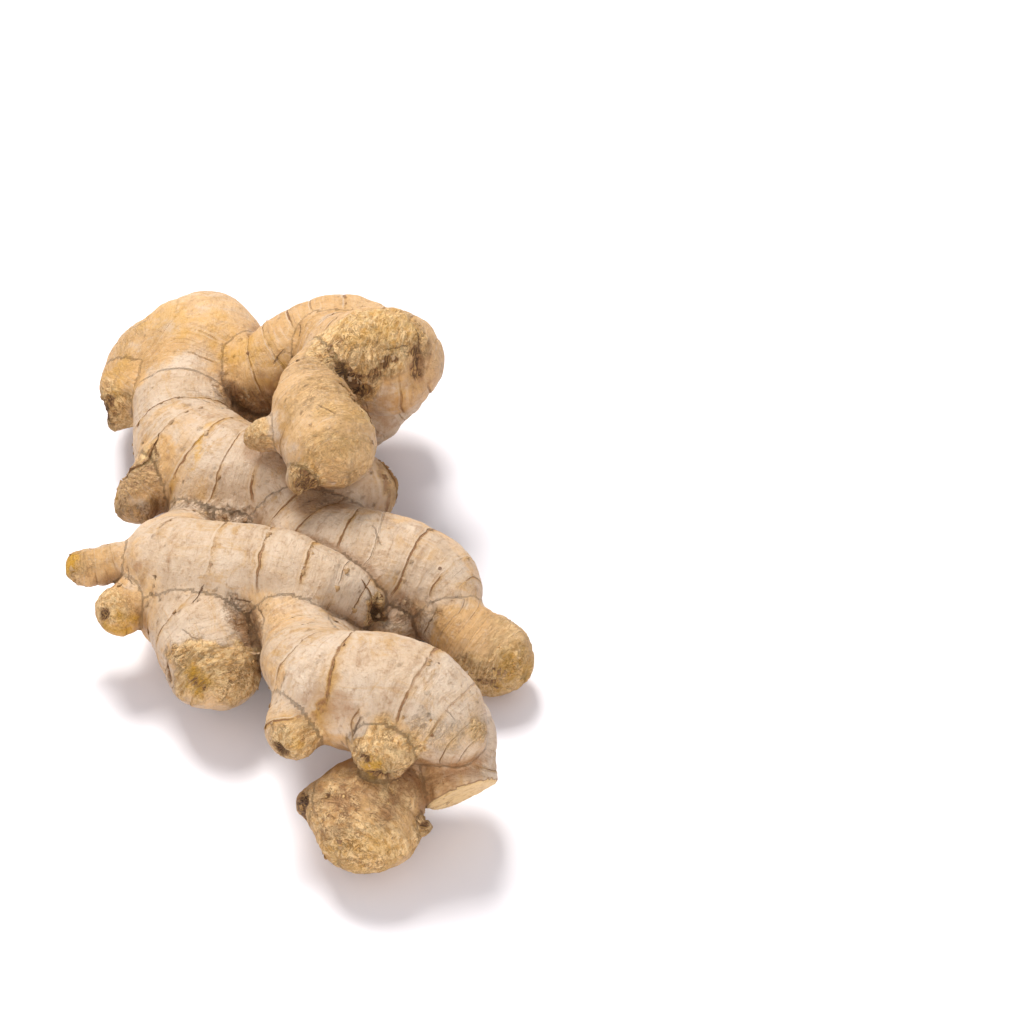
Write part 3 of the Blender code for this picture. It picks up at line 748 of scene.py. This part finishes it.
def scatter_tree():
    """Geometry Nodes that strew one small shape over a skin, standing on it and turned along the stem."""
    tree = bpy.data.node_groups.new("scatter_on_skin", "GeometryNodeTree")
    inputs = {}
    for label, kind in (("Skin", "NodeSocketGeometry"), ("Shape", "NodeSocketObject"),
                        ("Per Square Metre", "NodeSocketFloat"), ("Smallest", "NodeSocketFloat"),
                        ("Largest", "NodeSocketFloat"), ("Turn", "NodeSocketFloat"),
                        ("Seed", "NodeSocketInt"), ("Finish", "NodeSocketMaterial")):
        inputs[label] = tree.interface.new_socket(label, in_out="INPUT", socket_type=kind).identifier
    tree.interface.new_socket("Pieces", in_out="OUTPUT", socket_type="NodeSocketGeometry")
    fed = tree.nodes.new("NodeGroupInput")
    out = tree.nodes.new("NodeGroupOutput")

    def add(kind, settings=(), **links):
        node = tree.nodes.new(kind)
        for key, value in settings:
            setattr(node, key, value)
        for key, source in links.items():
            socket = node.inputs[key.replace("_", " ")]
            if isinstance(source, bpy.types.NodeSocket):
                tree.links.new(source, socket)
            else:
                socket.default_value = source
        return node

    where = add("GeometryNodeInputNamedAttribute", [("data_type", "FLOAT")], Name="where")
    density = add("ShaderNodeMath", [("operation", "MULTIPLY")])
    tree.links.new(where.outputs["Attribute"], density.inputs[0])
    tree.links.new(fed.outputs["Per Square Metre"], density.inputs[1])
    points = add("GeometryNodeDistributePointsOnFaces", Mesh=fed.outputs["Skin"], Density=density.outputs[0],
                 Seed=fed.outputs["Seed"])
    stem = add("GeometryNodeInputNamedAttribute", [("data_type", "FLOAT_VECTOR")], Name="heading")
    aligned = add("FunctionNodeAlignRotationToVector", [("axis", "X"), ("pivot_axis", "Z")],
                  Rotation=points.outputs["Rotation"], Vector=stem.outputs["Attribute"])
    back = add("ShaderNodeMath", [("operation", "MULTIPLY")])
    tree.links.new(fed.outputs["Turn"], back.inputs[0])
    back.inputs[1].default_value = -1.0
    swing = add("FunctionNodeRandomValue", [("data_type", "FLOAT")], Seed=fed.outputs["Seed"])
    tree.links.new(back.outputs[0], swing.inputs[2])
    tree.links.new(fed.outputs["Turn"], swing.inputs[3])
    turned = add("FunctionNodeAxisAngleToRotation", Axis=(0.0, 0.0, 1.0), Angle=swing.outputs[1])
    rotation = add("FunctionNodeRotateRotation", [("rotation_space", "LOCAL")], Rotation=aligned.outputs[0],
                   Rotate_By=turned.outputs[0])
    size = add("FunctionNodeRandomValue", [("data_type", "FLOAT")], Seed=fed.outputs["Seed"])
    tree.links.new(fed.outputs["Smallest"], size.inputs[2])
    tree.links.new(fed.outputs["Largest"], size.inputs[3])
    shape = add("GeometryNodeObjectInfo", Object=fed.outputs["Shape"])
    strewn = add("GeometryNodeInstanceOnPoints", Points=points.outputs["Points"],
                 Instance=shape.outputs["Geometry"], Rotation=rotation.outputs[0], Scale=size.outputs[1])
    real = add("GeometryNodeRealizeInstances", Geometry=strewn.outputs[0])
    finished = add("GeometryNodeSetMaterial", Geometry=real.outputs[0], Material=fed.outputs["Finish"])
    tree.links.new(finished.outputs[0], out.inputs[0])
    return tree, inputs


scatter, scatter_inputs = scatter_tree()


def strew(name, where, shape_mesh, finish, **sizes):
    """Scatters a shape where a value on the skin is high, as one plain mesh that rides with the hand."""
    shape = bpy.data.objects.new(name + "_shape", shape_mesh)
    piece = bpy.data.objects.new(name, skin.data.copy())
    bpy.context.scene.collection.objects.link(piece)
    keep_on_skin(piece.data, "where", where)
    keep_on_skin(piece.data, "heading", heading, "FLOAT_VECTOR")
    strewing = piece.modifiers.new("strew", "NODES")
    strewing.node_group = scatter
    strewing[scatter_inputs["Shape"]] = shape
    strewing[scatter_inputs["Finish"]] = finish.material
    for label, value in sizes.items():
        strewing[scatter_inputs[label.replace("_", " ").title()]] = value
    bake_modifiers(piece)
    bpy.data.objects.remove(shape)
    for layer in [a.name for a in piece.data.attributes if a.name in ("where", "heading")]:
        piece.data.attributes.remove(piece.data.attributes[layer])
    set_mesh_points(piece.data, mesh_points(piece.data))
    piece.data.shade_smooth()
    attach(piece, "root")
    return piece


def closed_sheet(name, top, bottom):
    """A closed thin mesh from two grids of points, the upper and the lower face."""
    rows, columns = len(top), len(top[0])
    builder = bmesh.new()
    upper = [[builder.verts.new(p) for p in row] for row in top]
    lower = [[builder.verts.new(p) for p in row] for row in bottom]
    for i in range(rows - 1):
        for j in range(columns - 1):
            builder.faces.new((upper[i][j], upper[i + 1][j], upper[i + 1][j + 1], upper[i][j + 1]))
            builder.faces.new((lower[i][j], lower[i][j + 1], lower[i + 1][j + 1], lower[i + 1][j]))
    border = [(i, 0) for i in range(rows)] + [(rows - 1, j) for j in range(1, columns)]
    border += [(i, columns - 1) for i in range(rows - 2, -1, -1)]
    border += [(0, j) for j in range(columns - 2, 0, -1)]
    for (i, j), (k, m) in zip(border, border[1:] + border[:1]):
        builder.faces.new((upper[i][j], lower[i][j], lower[k][m], upper[k][m]))
    bmesh.ops.recalc_face_normals(builder, faces=builder.faces)
    mesh = bpy.data.meshes.new(name)
    builder.to_mesh(mesh)
    builder.free()
    return mesh


def shred_shape():
    """One shred, 1 mm long: rooted in the skin, then lifting and narrowing to a torn tip."""
    top, bottom = [], []
    for i, (along, half_width, lift) in enumerate(((-0.35, 0.75, -0.25), (0.1, 0.7, 0.03), (0.5, 0.52, 0.12),
                                                  (0.85, 0.3, 0.30))):
        edge_row = (-0.06, 0.0, 0.05) if i % 2 else (0.05, -0.03, -0.04)
        places = [(along + e, side * half_width, lift) for side, e in zip((-1, 0, 1), edge_row)]
        top.append([(x * MM, y * MM, (z + 0.05) * MM) for x, y, z in places])
        bottom.append([(x * MM, y * MM, (z - 0.05) * MM) for x, y, z in places])
    return closed_sheet("shred", top, bottom)


dry = Finish("dry_scale")
DRY_TAN = (0.42, 0.26, 0.12, 1)
DRY_BROWN = (0.22, 0.11, 0.045, 1)
DRY_PAPER = (0.56, 0.40, 0.25, 1)
dry_colour = dry.mix(dry.rise(dry.grain(260, 3.0, 0.6), 0.38, 0.64), DRY_TAN, DRY_BROWN)
dry_colour = dry.wash(dry_colour, DRY_PAPER, dry.rise(dry.grain(70, 2.0, 0.5), 0.5, 0.6), 0.6)
dry.put(dry.shader.inputs["Base Color"], dry_colour)
dry.put(dry.shader.inputs["Roughness"], dry.math("MULTIPLY_ADD", dry.grain(300, 2.0, 0.5), 0.3, 0.5))
dry.shader.inputs["Specular IOR Level"].default_value = 0.35

on_ring = np.clip(1 - np.abs(count - np.round(count)) / 0.05, 0, 1) * ringed
on_ring *= np.clip(ripple(base, 4.5, 2, 7.0) * 3.0 - 0.2, 0, 1)
FLAKY = [
    ((7, 42, 46), (14, 38, 41), 2.6, 1.0), ((16, 38.5, 43), (24, 42, 48), 1.6, 0.7),
    ((-46, 28, 16), (-36, 33, 24), 1.8, 0.8), ((1, 8.5, 36), (3.5, 8.3, 33.5), 3.0, 0.9),
    ((13, 27, 46), (17, 23, 43), 2.2, 0.8), ((-12, -24, 25), (-9, -31, 20), 2.6, 0.6),
    ((17.5, -17.5, 20), (18.5, -16.5, 16), 2.8, 0.8), ((42, -31, 10), (50, -30, 9), 2.6, 0.7),
    ((-22, 54, 20), (-8, 57, 18), 3.4, 0.5), ((-38, 20, 16), (-15, 12, 20), 2.0, 0.35),
    ((19, 29, 20), (21, 25, 14), 2.0, 0.7), ((24, -16, 16), (32, -16, 14), 2.5, 0.5),
]
on_ring = np.maximum(on_ring, marked(base, FLAKY, edge) * np.clip(0.3 + ripple(base, 2.0, 1, 5.0), 0, 1))
strew("ring_shreds", on_ring, shred_shape(), dry, per_square_metre=SHREDS_PER_SQUARE_METRE,
      smallest=0.35 * SHRED_LENGTH, largest=1.15 * SHRED_LENGTH, turn=0.7, seed=11)


# Cork crumbs: the old ends are covered in loose corky crumbs of dry tissue, from a pinhead down to grit,
# stuck to the cork they broke from.
CRUMBS_PER_SQUARE_METRE = 380000


def crumb_shape():
    """One crumb, about 1 mm across: an uneven block, half of it in the skin."""
    builder = bmesh.new()
    bmesh.ops.create_icosphere(builder, subdivisions=1, radius=0.5 * MM)
    for vert in builder.verts:
        push = 1 + 0.45 * noise.noise(vert.co / MM * 1.7 + Vector((4.2, 1.0, 8.0)))
        vert.co = Vector((vert.co.x * push * 1.2, vert.co.y * push, vert.co.z * push * 0.6))
    mesh = bpy.data.meshes.new("crumb")
    builder.to_mesh(mesh)
    builder.free()
    return mesh


grit = Finish("cork_crumb")
CRUMB_BROWN = (0.38, 0.20, 0.075, 1)
CRUMB_STRAW = (0.68, 0.44, 0.19, 1)
grit_colour = grit.mix(grit.rise(grit.grain(420, 4.0, 0.7), 0.36, 0.66), CRUMB_BROWN, CRUMB_STRAW)
grit.put(grit.shader.inputs["Base Color"], grit_colour)
grit.put(grit.shader.inputs["Roughness"], grit.math("MULTIPLY_ADD", grit.grain(500, 2.0, 0.5), 0.2, 0.7))
grit.shader.inputs["Specular IOR Level"].default_value = 0.25

crumbly = np.clip(cork - 0.25, 0, 1) * np.clip(ripple(base, 3.0, 2, 4.0) * 2.5, 0, 1) * (1 - wound)
strew("cork_crumbs", crumbly, crumb_shape(), grit, per_square_metre=CRUMBS_PER_SQUARE_METRE, smallest=0.2,
      largest=0.75, turn=3.14, seed=5)


# Root hairs: where the thin feeding roots broke off, and at the torn scars, stiff dry fibres are left. Each
# is a tapering strand a few millimetres long that leans along the stem.
HAIRS_PER_SQUARE_METRE = 240000
HAIR_LENGTH = 2.0


def hair_shape():
    """One strand, 1 mm long and unevenly bent, as a closed three-sided tube."""
    builder = bmesh.new()
    rings = []
    for along, lift, side, radius in ((-0.12, -0.12, 0, 0.05), (0.15, 0.15, 0.03, 0.045),
                                      (0.4, 0.26, -0.03, 0.036), (0.7, 0.30, 0.05, 0.026),
                                      (1.0, 0.24, 0.0, 0.012)):
        spots = [Vector((along, side + radius * math.cos(a), lift + radius * math.sin(a)))
                 for a in (0.0, 2.094, 4.189)]
        rings.append([builder.verts.new(spot * MM) for spot in spots])
    for near, far in zip(rings[:-1], rings[1:]):
        for i in range(3):
            builder.faces.new((near[i], near[(i + 1) % 3], far[(i + 1) % 3], far[i]))
    builder.faces.new(rings[0])
    builder.faces.new(rings[-1])
    bmesh.ops.recalc_face_normals(builder, faces=builder.faces)
    mesh = bpy.data.meshes.new("hair")
    builder.to_mesh(mesh)
    builder.free()
    return mesh


root = Finish("dry_root")
ROOT_DARK = (0.10, 0.045, 0.018, 1)
ROOT_TAN = (0.36, 0.21, 0.09, 1)
root_colour = root.mix(root.rise(root.grain(150, 2.0, 0.5), 0.4, 0.6), ROOT_DARK, ROOT_TAN)
root.put(root.shader.inputs["Base Color"], root_colour)
root.shader.inputs["Roughness"].default_value = 0.7
HAIRY = [
    ((9.5, 39.5, 43), (14, 38, 39), 3.5, 1.0), ((1.2, 8.5, 36), (3.5, 8.3, 33.5), 3.0, 1.0),
    ((42, -31, 9.5), (47, -31, 9), 4.0, 0.6),
    ((-45, 29, 18), (-38, 32, 22.5), 2.5, 0.6), ((17.5, -17.5, 19.5), (18.5, -16.5, 16.5), 3.0, 0.7),
    ((15.5, 38, 42), (22, 40, 46.5), 2.5, 0.5), ((21, 27.5, 17), (20.5, 25.5, 15), 3.0, 0.4),
]
hairy = marked(base, HAIRY, 0.5 * edge) * np.clip(0.5 + ripple(base, 1.6), 0, 1)
strew("root_hairs", hairy, hair_shape(), root, per_square_metre=HAIRS_PER_SQUARE_METRE,
      smallest=0.35 * HAIR_LENGTH, largest=HAIR_LENGTH, turn=1.6, seed=3)


# Torn edges: where a shoot broke away or a sheath tore, the skin ends in a ragged standing lip, a thin curl
# of dry skin that grew out of the ring it belongs to.
TORN_EDGES = {
    "torn_bud_lip": (1.1, 0.5, [(-46, 27.5, 16), (-43.8, 29.6, 18.8), (-39.9, 30.6, 21.8),
                                (-36.3, 33.2, 23.8), (-35, 36.5, 26.2)]),
    "finger_lip": (1.0, 0.6, [(9, 30.5, 46.8), (11.5, 29.5, 46.3), (14.3, 26.5, 46), (16.5, 24, 44.5),
                              (17.4, 21.5, 42)]),
    "trunk_end_lip": (1.2, 0.2, [(17.8, 30.5, 22.3), (20.2, 29, 19.5), (21.3, 27.6, 16.8), (21, 25.3, 14.5)]),
    "left_end_lip": (1.0, 0.4, [(15.2, -15, 26), (17, -16.6, 23.5), (17.4, -18.4, 20.8), (16.5, -20, 18)]),
    "front_lip": (0.8, 0.5, [(15.5, -68.8, 31), (15.6, -67.2, 34), (17.5, -66, 36.6)]),
}


def torn_lip(name, height_mm, lean, path):
    """A ragged thin lip of skin along a path, standing on the skin and leaning over to one side."""
    spots = smooth_axis([(x, y, z, 1.0) for x, y, z in path])[:, :3]
    dense = []
    for start, end in zip(spots[:-1], spots[1:]):
        dense += [start + (end - start) * k / 2 for k in range(2)]
    dense.append(spots[-1])
    feet, ups = [], []
    for spot in dense:
        _, foot, up, _ = skin.closest_point_on_mesh(Vector(spot) * MM)
        feet.append(foot)
        ups.append(up)
    top, bottom = [], []
    for i, (foot, up) in enumerate(zip(feet, ups)):
        ahead = (feet[min(i + 1, len(feet) - 1)] - feet[max(i - 1, 0)]).normalized()
        aside = ahead.cross(up).normalized()
        taper = math.sin(math.pi * (i + 0.6) / (len(feet) + 0.2)) ** 0.5
        ragged = 0.62 + 0.75 * noise.noise(Vector((i * 0.9, height_mm * 7, 2.0)))
        tall = height_mm * MM * taper * ragged
        reach = (up + aside * lean).normalized()
        rows = [foot - up * 0.45 * MM, foot + reach * tall * 0.5, foot + (reach + aside * lean * 0.6) * tall]
        thick = aside * 0.11 * MM
        top.append([row + thick * (1 - 0.25 * k) for k, row in enumerate(rows)])
        bottom.append([row - thick * (1 - 0.25 * k) for k, row in enumerate(rows)])
    piece = bpy.data.objects.new(name, closed_sheet(name, top, bottom))
    bpy.context.scene.collection.objects.link(piece)
    set_mesh_points(piece.data, mesh_points(piece.data))
    piece.data.shade_smooth()
    piece.data.materials.append(dry.material)
    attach(piece, "root")


for lip_name, (tall, lean, path) in TORN_EDGES.items():
    torn_lip(lip_name, tall, lean, path)


# The studio: a white sweep under the hand, a broad lamp high behind it to the left, a weak one in front,
# and the camera at the photograph's angle and distance.
FLOOR_CORNERS = [(-1.6, -1.6, 0), (1.6, -1.6, 0), (1.6, 1.6, 0), (-1.6, 1.6, 0)]
floor_mesh = bpy.data.meshes.new("floor")
floor_mesh.from_pydata(FLOOR_CORNERS, [], [(0, 1, 2, 3)])
floor = bpy.data.objects.new("floor", floor_mesh)
bpy.context.scene.collection.objects.link(floor)
white = Finish("white_sweep")
white.shader.inputs["Base Color"].default_value = (0.865, 0.845, 0.89, 1)
white.shader.inputs["Roughness"].default_value = 0.28
white.shader.inputs["Specular IOR Level"].default_value = 0.35
floor.data.materials.append(white.material)

world = bpy.data.worlds.new("studio")
bpy.context.scene.world = world
world.use_nodes = True
world.node_tree.nodes["Background"].inputs["Color"].default_value = (0.97, 0.965, 1.0, 1)
world.node_tree.nodes["Background"].inputs["Strength"].default_value = 0.56


def softbox(name, place, size, power, colour):
    """A square lamp aimed at the middle of the hand."""
    lamp = bpy.data.lights.new(name, "AREA")
    lamp.shape = "SQUARE"
    lamp.size = size
    lamp.energy = power
    lamp.color = colour
    holder = bpy.data.objects.new(name, lamp)
    holder.location = place
    holder.rotation_euler = (Vector((0, 0, 0.02)) - Vector(place)).to_track_quat("-Z", "Y").to_euler()
    bpy.context.scene.collection.objects.link(holder)


softbox("key", (-0.38, 1.05, 1.55), 0.72, 40, (1.0, 0.975, 0.935))
softbox("front", (0.10, -1.2, 0.55), 0.9, 10.0, (1.0, 0.965, 0.92))

CAMERA_TILT = math.radians(42.0)
CAMERA_DISTANCE = 0.677
CAMERA_AIM = Vector((0.0495, 0.0107, 0.020))
towards = Vector((0, -math.cos(CAMERA_TILT), math.sin(CAMERA_TILT)))
lens = bpy.data.cameras.new("camera")
lens.lens = 100
lens.sensor_width = 36
camera = bpy.data.objects.new("camera", lens)
camera.location = CAMERA_AIM + towards * CAMERA_DISTANCE
camera.rotation_euler = (-towards).to_track_quat("-Z", "Y").to_euler()
bpy.context.scene.collection.objects.link(camera)
bpy.context.scene.camera = camera
bpy.context.scene.view_settings.view_transform = "Standard"
bpy.context.scene.view_settings.look = "None"
